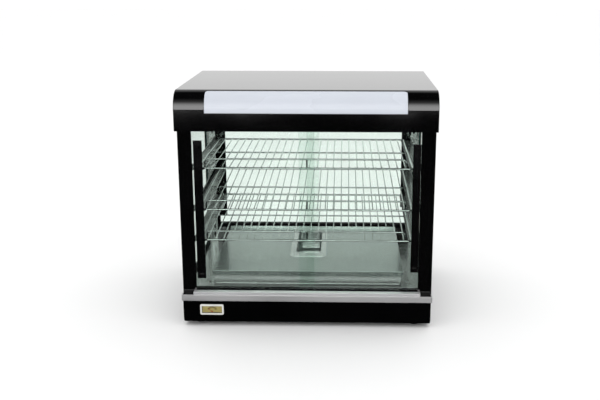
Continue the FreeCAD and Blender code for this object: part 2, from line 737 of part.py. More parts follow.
def water_pan():
    low = TRAY_TOP + GAP
    rim = rounded_block((PAN_X - PAN_HALF, PAN_X + PAN_HALF), PAN_DEPTH, (low, low + PAN_SHEET), 8)
    outer = bowl(0, low + PAN_SHEET)
    inner = bowl(PAN_SHEET, low + PAN_SHEET + 1)
    return rim.fuse(outer).cut(inner).removeSplitter()


def bowl(inset, top):
    x = (PAN_X - BOWL_HALF + inset, PAN_X + BOWL_HALF - inset)
    depth = (BOWL_DEPTH[0] + inset, BOWL_DEPTH[1] - inset)
    solid = rounded_block(x, depth, (BOWL_FLOOR + inset, top), 13 - inset)
    floor = [e for e in solid.Edges if abs(e.CenterOfMass.z - BOWL_FLOOR - inset) < 0.01]
    return solid.makeFillet(10 - inset, floor)


# ---------------------------------------------------------------- thermometer

def thermometer_case():
    """Box pushed into the base front, open towards the window."""
    case = rounded_plate((GAUGE_X, GAUGE_Z), (54.8, 21.2), (BASE_INSET, 24), 0.8)
    return case.cut(rounded_plate((GAUGE_X, GAUGE_Z), (52.4, 18.8), (BASE_INSET - 1, 22.8), 0.5))


def thermometer_bezel():
    frame = rounded_plate((GAUGE_X, GAUGE_Z), GAUGE_SIZE, (0.5, BASE_INSET), 4.0)
    edges = [e for e in frame.Edges if abs(e.CenterOfMass.y - behind(0.5)) < 0.01]
    frame = frame.makeFillet(1.0, edges)
    return frame.cut(rounded_plate((GAUGE_X, GAUGE_Z), GAUGE_WINDOW, (-1, 5), 1.5))


def thermometer_window():
    size = (GAUGE_WINDOW[0] - 0.2, GAUGE_WINDOW[1] - 0.2)
    return rounded_plate((GAUGE_X, GAUGE_Z), size, (1.4, 2.4), 1.4)


def thermometer_face():
    plate = rounded_plate((GAUGE_X, GAUGE_Z), (52.2, 18.6), (5.4, 6.4), 0.4)
    return plate.cut(disc(0.6, 6, V(GAUGE_X, behind(3), GAUGE_Z - 6.5), V(0, 1, 0)))


def thermometer_needle():
    """Pointer with its hub and pivot pin, at rest towards the cold end on the left."""
    pivot = V(GAUGE_X, behind(3.4), GAUGE_Z - 6.5)
    hub = disc(1.8, 1.2, pivot, V(0, 1, 0))
    pin = disc(0.55, 4.0, pivot, V(0, 1, 0))
    depth = (3.6, 4.2)
    blade = block((GAUGE_X - 0.45, GAUGE_X + 0.45), depth, (pivot.z, pivot.z + 12.5))
    needle = hub.fuse(pin).fuse(blade).removeSplitter()
    needle.rotate(pivot, V(0, 1, 0), -48)
    return needle


# ---------------------------------------------------------------- rear controls

def rear_point(at, depth):
    return V(at[0], behind(depth), at[1])


def thermostat_body():
    front = PANEL_DEPTH
    x, z = KNOB_AT
    box = block((x - 17, x + 17), (front - 30, front - 0.2), (z - 17, z + 17))
    neck = disc(5, 4, rear_point(KNOB_AT, front - 0.5), V(0, 1, 0))
    bore = disc(3.08, 22, rear_point(KNOB_AT, front - 15), V(0, 1, 0))
    return box.fuse(neck).cut(bore).removeSplitter()


def thermostat_knob():
    """Knob with a raised pointer bar and its spindle."""
    back = PANEL_DEPTH + 4.2
    disk = disc(KNOB_RADIUS, 5, rear_point(KNOB_AT, back), V(0, 1, 0))
    rim = [e for e in disk.Edges if e.CenterOfMass.y > behind(back + 4) and e.Length > 10]
    disk = disk.makeFillet(1.5, rim)
    x, z = KNOB_AT
    bar = block((x - 4, x + 4), (back + 3, back + 13.5), (z - 17, z + 17))
    bar = bar.makeFillet(2.0, [e for e in bar.Edges if e.CenterOfMass.y > behind(back + 13)])
    spindle = disc(3, 18, rear_point(KNOB_AT, back - 17), V(0, 1, 0))
    return disk.fuse(bar).fuse(spindle).removeSplitter()


def switch_housing(at):
    outer = PANEL_DEPTH + 1.5
    flange = rounded_plate(at, (ROCKER[0] + 5, ROCKER[1] + 6), (outer, outer + 2), 1.5)
    body = rounded_plate(at, (ROCKER[0] + 2.2, ROCKER[1] + 2.2), (PANEL_DEPTH - 18, outer), 0.5)
    well = rounded_plate(at, (ROCKER[0] + 0.8, ROCKER[1] + 0.8), (PANEL_DEPTH - 7, outer + 3), 0.3)
    return flange.fuse(body).cut(well).removeSplitter()


def rocker(at):
    """Rocker paddle: two shallow faces that meet over its pivot, tipped to 'off' at rest."""
    pivot = rear_point(at, PANEL_DEPTH + 0.5)
    x0 = at[0] - ROCKER[0] / 2
    half = ROCKER[1] / 2 - 0.8
    y = [pivot.y - 4, pivot.y + 3.4, pivot.y + 1.6]
    corners = [V(x0, y[0], at[1] - 5), V(x0, y[2] - 2.5, at[1] - half), V(x0, y[1], at[1] - half),
               V(x0, y[2], at[1]), V(x0, y[1], at[1] + half), V(x0, y[2] - 2.5, at[1] + half),
               V(x0, y[0], at[1] + 5)]
    paddle = Part.Face(Part.makePolygon(corners + [corners[0]])).extrude(V(ROCKER[0], 0, 0))
    paddle.rotate(pivot, V(1, 0, 0), 8)
    return paddle


def pilot_lamp():
    outer = PANEL_DEPTH + 1.5
    lens = disc(7, 2.5, rear_point(PILOT_AT, outer), V(0, 1, 0))
    rim = [e for e in lens.Edges if e.CenterOfMass.y > behind(outer + 2) and e.Length > 10]
    body = disc(5, 16, rear_point(PILOT_AT, outer - 15), V(0, 1, 0))
    return lens.makeFillet(1.5, rim).fuse(body).removeSplitter()


def cable_gland():
    """Gland in the rear panel; the supply cord would pass through its bore."""
    y = V(0, 1, 0)
    outer = PANEL_DEPTH + 1.5
    body = disc(8, 16, rear_point(GLAND_AT, PANEL_DEPTH - 10), y)
    nut_points = [V(GLAND_AT[0] + 11 * math.cos(math.radians(60 * i)), behind(outer),
                    GLAND_AT[1] + 11 * math.sin(math.radians(60 * i))) for i in range(7)]
    nut = Part.Face(Part.makePolygon(nut_points)).extrude(V(0, 6, 0))
    dome = Part.makeCone(9.5, 6.5, 8, rear_point(GLAND_AT, outer + 6), y)
    bore = disc(4.2, 40, rear_point(GLAND_AT, PANEL_DEPTH - 15), y)
    return body.fuse(nut).fuse(dome).cut(bore).removeSplitter()


def terminal_block():
    """Four-way block: wires enter from the front and the back, and the clamp holes are on top."""
    floor = FOOT_HEIGHT + BASE_SHEET
    depth = (TERMINAL_DEPTH - 11, TERMINAL_DEPTH + 11)
    body = block((TERMINAL_X[0] - 8, TERMINAL_X[3] + 8), depth, (floor, floor + 20))
    for x in TERMINAL_X:
        body = body.cut(disc(3.2, 8, V(x, behind(TERMINAL_DEPTH), floor + 14), V(0, 0, 1)))
        body = body.cut(disc(2.4, 30, V(x, behind(depth[0] - 3), floor + 8), V(0, 1, 0)))
    return body


def sensor_probes():
    """Bulbs under the deck plate, joined by capillaries to the thermometer and the thermostat."""
    z = BASE_TOP - BASE_SHEET - 6
    group = []
    for start, x, depth, side in ((V(GAUGE_X, behind(24), GAUGE_Z), GAUGE_X, 110, 1),
                                  (rear_point(KNOB_AT, PANEL_DEPTH - 30), KNOB_AT[0], 420, -1)):
        y = behind(depth)
        end = V(x + side * 40, y, z)
        line = bent_rod([start, V(x, y, start.z), V(x, y, z), end], 0.9, 8)
        bulb = disc(3, 60, end, V(side, 0, 0))
        group.append(line.fuse(bulb).removeSplitter())
    return group


def wiring():
    """Insulated wires: from the terminal block to the controls, and down from the heater ends."""
    low = FOOT_HEIGHT + BASE_SHEET + 8
    switch_back = PANEL_DEPTH - 18
    thermostat_back = PANEL_DEPTH - 30
    group = []
    supply = ((TERMINAL_X[0], 415, 56, POWER_AT[0], switch_back),
              (TERMINAL_X[1], 408, 47, LAMP_AT[0], switch_back),
              (TERMINAL_X[2], 401, 38, KNOB_AT[0] - 7, thermostat_back))
    for x, depth, z, to_x, to_depth in supply:
        y = behind(depth)
        route = [V(x, behind(436), low), V(x, y, low), V(x, y, z), V(to_x, y, z),
                 V(to_x, behind(to_depth), z)]
        group.append(bent_rod(route, WIRE, 6))
    y = behind(WIRE_DROP)
    heater_back = behind(HEATER_BOX_DEPTH[1] + 5)
    box_top = KNOB_AT[1] + 17
    for x, to_x in ((HEATER_LEGS[0], KNOB_AT[0] - 10), (HEATER_LEGS[1], KNOB_AT[0] + 10)):
        route = [V(x, heater_back, HEATER_Z), V(x, y, HEATER_Z), V(x, y, 75), V(to_x, y, 75),
                 V(to_x, y, box_top)]
        group.append(bent_rod(route, WIRE, 2.5))
    middle = behind(TERMINAL_DEPTH)
    for x, to_x, z in ((-HEATER_LEGS[0], TERMINAL_X[2], 70), (-HEATER_LEGS[1], TERMINAL_X[3], 58)):
        route = [V(x, heater_back, HEATER_Z), V(x, y, HEATER_Z), V(x, y, z), V(x, middle, z),
                 V(to_x, middle, z), V(to_x, middle, low + 8)]
        group.append(bent_rod(route, WIRE, 2.5))
    return group


def panel_screws():
    spots = [(spot, HOOD_SHEET + 1.2) for spot in hood_panel_screws()]
    spots += [(spot, 5) for spot in control_panel_screws() + deck_screws() + foot_screws()]
    group = [screw(at, axis, length) for (at, axis), length in spots]
    top = POST_TOP + 1.5
    group += [screw(V(x, behind(depth), top + 2), V(0, 0, 1), 5) for x, depth in LAMP_FEET]
    group += [screw(V(x, behind(depth), top + 1.5), V(0, 0, 1), 1.4) for x, depth in BALLAST_FEET]
    return group


# ---------------------------------------------------------------- assembly

def nodes():
    post = front_left_post()
    glass = left_side_glass()
    parts = {
        "base_shell": base_shell(),
        "control_panel": control_panel(),
        "feet": feet(),
        "trim_band": trim_band(),
        "deck_plate": deck_plate(),
        "heater_box": heater_box(),
        "heater_elements": heater_elements(),
        "heater_clips": heater_clips(),
        "floor_tray": floor_tray(),
        "water_pan": water_pan(),
        "thermometer_case": thermometer_case(),
        "thermometer_bezel": thermometer_bezel(),
        "thermometer_window": thermometer_window(),
        "thermometer_face": thermometer_face(),
        "thermometer_needle": thermometer_needle(),
        "post_front_left": post,
        "post_front_right": mirror_x(post),
        "post_rear_left": mirror_y(post),
        "post_rear_right": mirror_y(mirror_x(post)),
        "side_glass_left": glass,
        "side_glass_right": mirror_x(glass),
        "side_channels": side_channels(),
        "front_sill_strip": front_sill_strip(),
        "front_lower_track": lower_track(0),
        "front_upper_track": upper_track(),
        "rear_sill": rear_sill(),
        "rear_lower_track": mirror_y(lower_track(REAR_RISE)),
        "rear_upper_track": mirror_y(upper_track()),
        "shelf_uprights": shelf_uprights(),
        "shelf_rails": shelf_rails(),
        "hood_shell": hood_shell(),
        "hood_rear_panel": hood_rear_panel(),
        "sign_panel": sign_panel(),
        "ceiling_panel": ceiling_panel(),
        "lamp_tube": lamp_tube(),
        "lamp_holders": lamp_holders(),
        "lamp_ballast": lamp_ballast(),
        "thermostat_body": thermostat_body(),
        "thermostat_knob": thermostat_knob(),
        "switch_housings": [switch_housing(POWER_AT), switch_housing(LAMP_AT)],
        "power_rocker": rocker(POWER_AT),
        "lamp_rocker": rocker(LAMP_AT),
        "pilot_lamp": pilot_lamp(),
        "cable_gland": cable_gland(),
        "terminal_block": terminal_block(),
        "sensor_probes": sensor_probes(),
        "wiring": wiring(),
        "screws": panel_screws() + rail_screws(),
    }
    for side in ("left", "right"):
        left = side == "left"
        parts["front_door_%s_glass" % side] = door_glass(left, 0)
        parts["front_door_%s_grip" % side] = door_grip(left, 0)
        parts["rear_door_%s_glass" % side] = mirror_y(door_glass(left, REAR_RISE))
        parts["rear_door_%s_grip" % side] = mirror_y(door_grip(left, REAR_RISE))
    for level, (front_z, rise) in SHELVES.items():
        parts["shelf_" + level] = wire_shelf(front_z, rise)
    return parts


def main():
    os.makedirs("parts", exist_ok=True)
    for name, shape in nodes().items():
        solids = shape if isinstance(shape, list) else shape.Solids
        result = solids[0] if len(solids) == 1 else Part.makeCompound(solids)
        result.exportStep("parts/%s.step" % name)
        print(name, len(solids), result.isValid(), round(result.Volume))


main()
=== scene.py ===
import json
import math

import bmesh
import bpy
from mathutils import Matrix, Vector

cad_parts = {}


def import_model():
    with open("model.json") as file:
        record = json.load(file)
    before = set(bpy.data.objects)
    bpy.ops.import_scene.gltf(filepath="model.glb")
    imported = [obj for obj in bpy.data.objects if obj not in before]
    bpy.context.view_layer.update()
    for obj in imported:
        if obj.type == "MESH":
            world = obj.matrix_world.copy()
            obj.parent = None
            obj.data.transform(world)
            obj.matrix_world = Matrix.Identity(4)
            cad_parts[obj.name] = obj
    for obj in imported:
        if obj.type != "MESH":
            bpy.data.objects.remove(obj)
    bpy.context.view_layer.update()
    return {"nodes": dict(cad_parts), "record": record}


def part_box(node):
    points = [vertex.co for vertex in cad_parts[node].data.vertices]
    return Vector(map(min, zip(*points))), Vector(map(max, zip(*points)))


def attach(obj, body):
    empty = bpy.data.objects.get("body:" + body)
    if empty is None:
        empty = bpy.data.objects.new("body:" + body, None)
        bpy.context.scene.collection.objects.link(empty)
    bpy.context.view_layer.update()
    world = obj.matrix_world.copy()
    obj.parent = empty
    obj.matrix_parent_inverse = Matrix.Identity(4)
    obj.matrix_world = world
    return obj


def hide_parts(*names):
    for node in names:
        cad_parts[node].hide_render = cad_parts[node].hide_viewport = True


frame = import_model()
nodes = frame["nodes"]
record = frame["record"]

MM = 0.001
SLOT_OF = {entry["node"]: entry["material_slot"] for entry in record["subparts"]}
BODY_OF = {node: body for body, members in record["behaviour"]["bodies"].items() for node in members}


# ---------------------------------------------------------------- shader helpers

def new_material(name):
    """A node material: returns it with its tree and its Principled shader."""
    mat = bpy.data.materials.new(name)
    mat.use_nodes = True
    tree = mat.node_tree
    return mat, tree, tree.nodes["Principled BSDF"]


def coordinates(tree, stretch=(1, 1, 1)):
    """Object coordinates in metres, stretched per axis."""
    coords = tree.nodes.new("ShaderNodeTexCoord")
    mapping = tree.nodes.new("ShaderNodeMapping")
    mapping.inputs["Scale"].default_value = stretch
    tree.links.new(coords.outputs["Object"], mapping.inputs["Vector"])
    return mapping.outputs["Vector"]


def noise(tree, scale, stretch=(1, 1, 1), detail=3.0, rough=0.5):
    node = tree.nodes.new("ShaderNodeTexNoise")
    node.inputs["Scale"].default_value = scale
    node.inputs["Detail"].default_value = detail
    node.inputs["Roughness"].default_value = rough
    tree.links.new(coordinates(tree, stretch), node.inputs["Vector"])
    return node.outputs["Fac"]


def spread(tree, value, low, high, start=0.0, stop=1.0, smooth=False):
    """Maps a value from start..stop to low..high, held at both ends."""
    node = tree.nodes.new("ShaderNodeMapRange")
    node.interpolation_type = "SMOOTHSTEP" if smooth else "LINEAR"
    node.inputs["From Min"].default_value = start
    node.inputs["From Max"].default_value = stop
    node.inputs["To Min"].default_value = low
    node.inputs["To Max"].default_value = high
    tree.links.new(value, node.inputs["Value"])
    return node.outputs["Result"]


def maths(tree, operation, first, second=0.0):
    """One arithmetic node; second is a number or another socket, and one-input operations ignore it."""
    node = tree.nodes.new("ShaderNodeMath")
    node.operation = operation
    tree.links.new(first, node.inputs[0])
    if isinstance(second, (int, float)):
        node.inputs[1].default_value = second
    else:
        tree.links.new(second, node.inputs[1])
    return node.outputs["Value"]


def two_colours(tree, fac, first, second):
    node = tree.nodes.new("ShaderNodeMix")
    node.data_type = "RGBA"
    node.inputs["A"].default_value = (*first, 1)
    node.inputs["B"].default_value = (*second, 1)
    tree.links.new(fac, node.inputs["Factor"])
    return node.outputs["Result"]


def bump(tree, shader, height, distance):
    node = tree.nodes.new("ShaderNodeBump")
    node.inputs["Distance"].default_value = distance
    tree.links.new(height, node.inputs["Height"])
    tree.links.new(node.outputs["Normal"], shader.inputs["Normal"])


def axis_part(tree, vector, axis):
    split = tree.nodes.new("ShaderNodeSeparateXYZ")
    tree.links.new(vector, split.inputs["Vector"])
    return split.outputs[axis]


def scaled(colour, factor):
    return tuple(min(1.0, c * factor) for c in colour)


# ---------------------------------------------------------------- materials

def enamel(name, colour, rough, shine=0.95):
    """Gloss powder enamel: faint orange peel and a thin uneven film of dust."""
    mat, tree, shader = new_material(name)
    film = noise(tree, 9.0, detail=5.0)
    tint = two_colours(tree, spread(tree, film, 0, 1, 0.35, 0.7), colour, scaled(colour, 1.8))
    tree.links.new(tint, shader.inputs["Base Color"])
    tree.links.new(spread(tree, film, rough * 0.7, rough * 1.6, 0.3, 0.75), shader.inputs["Roughness"])
    shader.inputs["Specular IOR Level"].default_value = shine
    bump(tree, shader, noise(tree, 300.0, detail=2.0), 0.00001)
    return mat


def brushed(name, colour, rough, along="x", streak=0.08, metallic=0.8):
    """Sheet metal with fine grinding marks along one axis, and faint hand marks."""
    mat, tree, shader = new_material(name)
    stretch = {"x": (6, 900, 900), "y": (900, 6, 900), "z": (900, 900, 6)}[along]
    marks = noise(tree, 1.0, stretch, detail=4.0, rough=0.6)
    cloud = noise(tree, 7.0, detail=4.0)
    line = spread(tree, marks, 0, 1, 0.3, 0.7)
    tint = two_colours(tree, line, scaled(colour, 1 - streak), scaled(colour, 1 + streak))
    tree.links.new(tint, shader.inputs["Base Color"])
    shader.inputs["Metallic"].default_value = metallic
    tree.links.new(spread(tree, cloud, rough * 0.9, rough * 1.15, 0.3, 0.7), shader.inputs["Roughness"])
    bump(tree, shader, marks, 0.000004)
    return mat


def plated(name, colour, rough):
    mat, tree, shader = new_material(name)
    cloud = noise(tree, 60.0, detail=4.0)
    tint = two_colours(tree, spread(tree, cloud, 0, 1, 0.35, 0.65), scaled(colour, 0.80), colour)
    tree.links.new(tint, shader.inputs["Base Color"])
    shader.inputs["Metallic"].default_value = 1.0
    tree.links.new(spread(tree, cloud, rough * 0.7, rough * 1.5, 0.3, 0.7), shader.inputs["Roughness"])
    return mat


def moulded(name, colour, rough, grain=1600.0, depth=0.00004, shine=0.5):
    mat, tree, shader = new_material(name)
    cloud = noise(tree, 30.0, detail=4.0)
    tint = two_colours(tree, spread(tree, cloud, 0, 1, 0.3, 0.7), scaled(colour, 0.88), scaled(colour, 1.1))
    tree.links.new(tint, shader.inputs["Base Color"])
    tree.links.new(spread(tree, cloud, rough * 0.85, rough * 1.2, 0.3, 0.7), shader.inputs["Roughness"])
    shader.inputs["Specular IOR Level"].default_value = shine
    bump(tree, shader, noise(tree, grain, detail=2.0), depth)
    return mat


FACE_ON_MIRROR = 0.02
GRAZING_MIRROR = 0.30


def pane(name, tint, edge, facing):
    """Flat glass across one axis: see-through faces that mirror at a slant, and deep green cut edges."""
    mat, tree, cut = new_material(name)
    smear = noise(tree, 14.0, (1, 1, 2.5), detail=5.0)
    clear = tree.nodes.new("ShaderNodeBsdfTransparent")
    see = two_colours(tree, spread(tree, smear, 0, 1, 0.35, 0.7), tint, scaled(tint, 0.985))
    tree.links.new(see, clear.inputs["Color"])
    gloss = tree.nodes.new("ShaderNodeBsdfGlossy")
    gloss.inputs["Color"].default_value = (0.95, 1.0, 0.98, 1)
    tree.links.new(spread(tree, smear, 0.0, 0.03, 0.4, 0.8), gloss.inputs["Roughness"])
    slant = tree.nodes.new("ShaderNodeLayerWeight")
    slant.inputs["Blend"].default_value = 0.5
    mirror = spread(tree, maths(tree, "POWER", slant.outputs["Facing"], 5.0),
                    FACE_ON_MIRROR, GRAZING_MIRROR)
    face = tree.nodes.new("ShaderNodeMixShader")
    tree.links.new(mirror, face.inputs["Fac"])
    tree.links.new(clear.outputs["BSDF"], face.inputs[1])
    tree.links.new(gloss.outputs["BSDF"], face.inputs[2])
    cut.inputs["Roughness"].default_value = 0.12
    tree.links.new(two_colours(tree, smear, edge, scaled(edge, 1.3)), cut.inputs["Base Color"])
    geometry = tree.nodes.new("ShaderNodeNewGeometry")
    across = maths(tree, "ABSOLUTE", axis_part(tree, geometry.outputs["True Normal"], facing))
    both = tree.nodes.new("ShaderNodeMixShader")
    tree.links.new(maths(tree, "GREATER_THAN", across, 0.5), both.inputs["Fac"])
    tree.links.new(cut.outputs["BSDF"], both.inputs[1])
    tree.links.new(face.outputs["Shader"], both.inputs[2])
    tree.links.new(both.outputs["Shader"], tree.nodes["Material Output"].inputs["Surface"])
    return mat


def milky(name, colour):
    """Translucent acrylic over the sign lamp, with a faint uneven tint."""
    mat, tree, shader = new_material(name)
    cloud = noise(tree, 5.0, (1, 3, 3), detail=2.0)
    tint = two_colours(tree, spread(tree, cloud, 0, 1, 0.3, 0.7), scaled(colour, 0.97), colour)
    tree.links.new(tint, shader.inputs["Base Color"])
    tree.links.new(spread(tree, cloud, 0.22, 0.30, 0.3, 0.7), shader.inputs["Roughness"])
    shader.inputs["Subsurface Weight"].default_value = 0.3
    shader.inputs["Subsurface Radius"].default_value = (0.004, 0.004, 0.004)
    return mat


CAP_START = 0.228                # metres from the middle of the tube


def lamp_finish(name):
    """Opal glass tube with bright metal caps at both ends."""
    mat, tree, shader = new_material(name)
    along = maths(tree, "ABSOLUTE", axis_part(tree, coordinates(tree), "X"))
    cap = maths(tree, "GREATER_THAN", along, CAP_START)
    tint = two_colours(tree, cap, (0.86, 0.88, 0.90), (0.60, 0.60, 0.58))
    tree.links.new(tint, shader.inputs["Base Color"])
    tree.links.new(cap, shader.inputs["Metallic"])
    tree.links.new(spread(tree, noise(tree, 80.0), 0.15, 0.30), shader.inputs["Roughness"])
    return mat


MATERIALS = {
    "black_enamel": enamel("black_enamel", (0.0008, 0.0008, 0.0009), 0.045),
    "base_enamel": enamel("base_enamel", (0.0008, 0.0008, 0.0009), 0.10, 0.05),
    "trim_steel": brushed("trim_steel", (0.60, 0.60, 0.605), 0.34),
    "stainless": brushed("stainless", (0.50, 0.52, 0.51), 0.22, "z"),
    "tray_steel": brushed("tray_steel", (0.52, 0.57, 0.55), 0.20, "y"),
    "pan_steel": brushed("pan_steel", (0.72, 0.75, 0.74), 0.20, "y"),
    "heater_sheath": plated("heater_sheath", (0.20, 0.16, 0.13), 0.45),
    "chrome_wire": plated("chrome_wire", (0.60, 0.63, 0.62), 0.14),
    "sill_aluminium": brushed("sill_aluminium", (0.74, 0.74, 0.75), 0.34),
    "screw_steel": plated("screw_steel", (0.58, 0.58, 0.57), 0.25),
    "copper_probe": plated("copper_probe", (0.65, 0.36, 0.22), 0.35),
    "clear_glass": pane("clear_glass", (0.955, 0.985, 0.968), (0.02, 0.13, 0.09), "Y"),
    "side_glass": pane("side_glass", (0.955, 0.985, 0.968), (0.02, 0.13, 0.09), "X"),
    "gauge_window": pane("gauge_window", (0.98, 0.98, 0.97), (0.4, 0.4, 0.4), "Y"),
    "lamp_glass": lamp_finish("lamp_glass"),
    "sign_acrylic": milky("sign_acrylic", (0.61, 0.64, 0.70)),
    "track_black": moulded("track_black", (0.0025, 0.0025, 0.003), 0.25, depth=0.00001, shine=0.05),
    "grip_black": moulded("grip_black", (0.002, 0.002, 0.0022), 0.10, depth=0.00001),
    "black_plastic": moulded("black_plastic", (0.014, 0.014, 0.014), 0.40),
    "white_plastic": moulded("white_plastic", (0.70, 0.70, 0.67), 0.30),
    "dial_face": moulded("dial_face", (0.47, 0.39, 0.14), 0.45),
    "dial_marks": moulded("dial_marks", (0.07, 0.035, 0.015), 0.5),
    "panel_marks": moulded("panel_marks", (0.75, 0.75, 0.73), 0.5),
    "needle_red": moulded("needle_red", (0.40, 0.04, 0.02), 0.35),
    "green_rocker": moulded("green_rocker", (0.02, 0.26, 0.06), 0.22),
    "black_rocker": moulded("black_rocker", (0.010, 0.010, 0.010), 0.25),
    "pilot_lens": moulded("pilot_lens", (0.60, 0.17, 0.02), 0.15, 300.0, 0.00001),
    "wire_red": moulded("wire_red", (0.30, 0.02, 0.01), 0.45, 500.0),
    "foot_rubber": moulded("foot_rubber", (0.012, 0.012, 0.012), 0.70, 900.0, 0.0001),
}


def dress(obj, finish):
    obj.data.materials.clear()
    obj.data.materials.append(MATERIALS[finish])
    return obj


# ---------------------------------------------------------------- mesh helpers

SHARP = math.radians(32)         # edges that turn by more than this are drawn sharp
NEARLY_FLAT = math.radians(0.3)
SAME_POINT = 0.002 * MM
ARC_STEP = 0.17                  # radians of bend per segment
WIRE_CHAMFER = 0.3               # share of the wire's radius


def piece(name, shape, finish, body, replaced=()):
    """Makes an object of a finished bmesh, with a material, a body and the CAD nodes it stands for."""
    mesh = bpy.data.meshes.new(name)
    bmesh.ops.recalc_face_normals(shape, faces=shape.faces)
    for face in shape.faces:
        face.smooth = True
    for edge in shape.edges:
        edge.smooth = len(edge.link_faces) != 2 or edge.calc_face_angle(0) < SHARP
    shape.to_mesh(mesh)
    shape.free()
    obj = bpy.data.objects.new(name, mesh)
    bpy.context.scene.collection.objects.link(obj)
    dress(obj, finish)
    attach(obj, body)
    if replaced:
        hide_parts(*replaced)
    return obj


def even_shading(obj):
    """Keeps big flat faces flat-looking beside their narrow rounded edges."""
    modifier = obj.modifiers.new("even_shading", "WEIGHTED_NORMAL")
    modifier.keep_sharp = True
    return obj


def rounded(node, width, steps=2, finish=None):
    """Stands for a CAD node with the same shape and its sharp edges broken."""
    shape = bmesh.new()
    shape.from_mesh(nodes[node].data)
    bmesh.ops.remove_doubles(shape, verts=shape.verts, dist=SAME_POINT)
    bmesh.ops.dissolve_limit(shape, angle_limit=NEARLY_FLAT, verts=shape.verts, edges=shape.edges)
    sharp = [e for e in shape.edges if len(e.link_faces) == 2 and e.calc_face_angle(0) > SHARP]
    bmesh.ops.bevel(shape, geom=sharp, offset=width * MM, segments=steps, profile=0.5, affect="EDGES",
                    clamp_overlap=False)
    obj = piece(node + "_finished", shape, finish or SLOT_OF[node], BODY_OF[node], [node])
    return even_shading(obj)


def islands(node):
    """The separate solids of a CAD node, each as a list of points."""
    shape = bmesh.new()
    shape.from_mesh(nodes[node].data)
    bmesh.ops.remove_doubles(shape, verts=shape.verts, dist=SAME_POINT)
    left = set(shape.verts)
    groups = []
    while left:
        to_visit = [left.pop()]
        group = []
        while to_visit:
            vert = to_visit.pop()
            group.append(vert.co.copy())
            for link in vert.link_edges:
                other = link.other_vert(vert)
                if other in left:
                    left.remove(other)
                    to_visit.append(other)
        groups.append(group)
    shape.free()
    return sorted(groups, key=lambda g: tuple(round(c, 5) for c in g_centre(g)))


def g_centre(points):
    return sum(points, Vector()) / len(points)


def corners(points):
    low = Vector([min(p[i] for p in points) for i in range(3)])
    high = Vector([max(p[i] for p in points) for i in range(3)])
    return low, high


def route_round(points, bend, closed=False):
    """Points along straight runs, with an arc of the given radius at each corner."""
    count = len(points)
    route = []
    for i, corner in enumerate(points):
        if not closed and i in (0, count - 1):
            route.append(corner.copy())
            continue
        back = (points[i - 1] - corner).normalized()
        ahead = (points[(i + 1) % count] - corner).normalized()
        turn = math.pi - back.angle(ahead)
        centre = corner + (back + ahead).normalized() * (bend / math.cos(turn / 2))
        start = corner + back * bend * math.tan(turn / 2) - centre
        end = corner + ahead * bend * math.tan(turn / 2) - centre
        steps = max(3, round(turn / ARC_STEP))
        for k in range(steps + 1):
            share = k / steps
            arm = (start * math.sin((1 - share) * turn) + end * math.sin(share * turn)) / math.sin(turn)
            route.append(centre + arm)
    return route


def ring(shape, middle, heading, across, radius, sides):
    third = heading.cross(across)
    turn = 2 * math.pi / sides
    return [shape.verts.new(middle + (across * math.cos(k * turn) + third * math.sin(k * turn)) * radius)
            for k in range(sides)]


def join_rings(shape, first, second):
    sides = len(first)
    for k in range(sides):
        n = (k + 1) % sides
        shape.faces.new((first[k], first[n], second[n], second[k]))


def wire(shape, route, radius, sides=12, closed=False):
    """Adds a round wire along a route; open ends are cut with a small chamfer."""
    route = list(route)
    sizes = [radius] * len(route)
    if not closed:
        chamfer = WIRE_CHAMFER * radius
        end = (1 - WIRE_CHAMFER) * radius
        first = (route[1] - route[0]).normalized()
        last = (route[-2] - route[-1]).normalized()
        route.insert(1, route[0] + first * chamfer)
        route.insert(-1, route[-1] + last * chamfer)
        sizes = [end] + [radius] * (len(route) - 2) + [end]
    count = len(route)
    rings = []
    across = (route[1] - route[0]).orthogonal().normalized()
    for i, point in enumerate(route):
        ahead = route[(i + 1) % count] if closed or i < count - 1 else point
        back = route[i - 1] if closed or i > 0 else point
        heading = (ahead - back).normalized()
        across = (across - heading * across.dot(heading)).normalized()
        rings.append(ring(shape, point, heading, across, sizes[i], sides))
    for first, second in zip(rings, rings[1:]):
        join_rings(shape, first, second)
    if closed:
        join_rings(shape, rings[-1], rings[0])
    else:
        shape.faces.new(list(reversed(rings[0])))
        shape.faces.new(rings[-1])


def rod(shape, start, end, radius, sides=12):
    start, end = Vector(start), Vector(end)
    wire(shape, [start, (start + end) / 2, end], radius, sides)


def bead(shape, at, size):
    """A small weld nugget: a flattened ball of the given half sizes."""
    place = Matrix.Translation(at) @ Matrix.Diagonal((*size, 1))
    bmesh.ops.create_uvsphere(shape, u_segments=10, v_segments=6, radius=1.0, matrix=place)


def bar(shape, low, high):
    """Adds a plain box between two corners."""
    middle = (Vector(low) + Vector(high)) / 2
    size = Vector(high) - Vector(low)
    place = Matrix.Translation(middle) @ Matrix.Diagonal((*size, 1))
    return bmesh.ops.create_cube(shape, size=1.0, matrix=place)["verts"]


# ---------------------------------------------------------------- shelves

FRAME_WIRE = 2.5 * MM
CROSS_WIRE = 1.5 * MM
SUPPORT_WIRE = 2.0 * MM
GUARD_WIRE = 2.2 * MM
CROSS_COUNT = 26
SHELF_RUN = 404 * MM
FRAME_BEND = 8 * MM
WELD_SINK = 0.8 * MM             # how far the cross wires sink into the frame
GUARD_HEIGHT = 24.5 * MM
GUARD_INSET = 19 * MM
GUARD_BEND = 9 * MM
STUB_OFFSET = 4 * MM
CROSS_WELD = (2.0 * MM, 1.7 * MM, 0.9 * MM)
GUARD_WELD = (2.9 * MM, 2.6 * MM, 1.4 * MM)
SHELF_RISE = {"top": 0.0, "middle": 21 * MM, "bottom": 21 * MM}


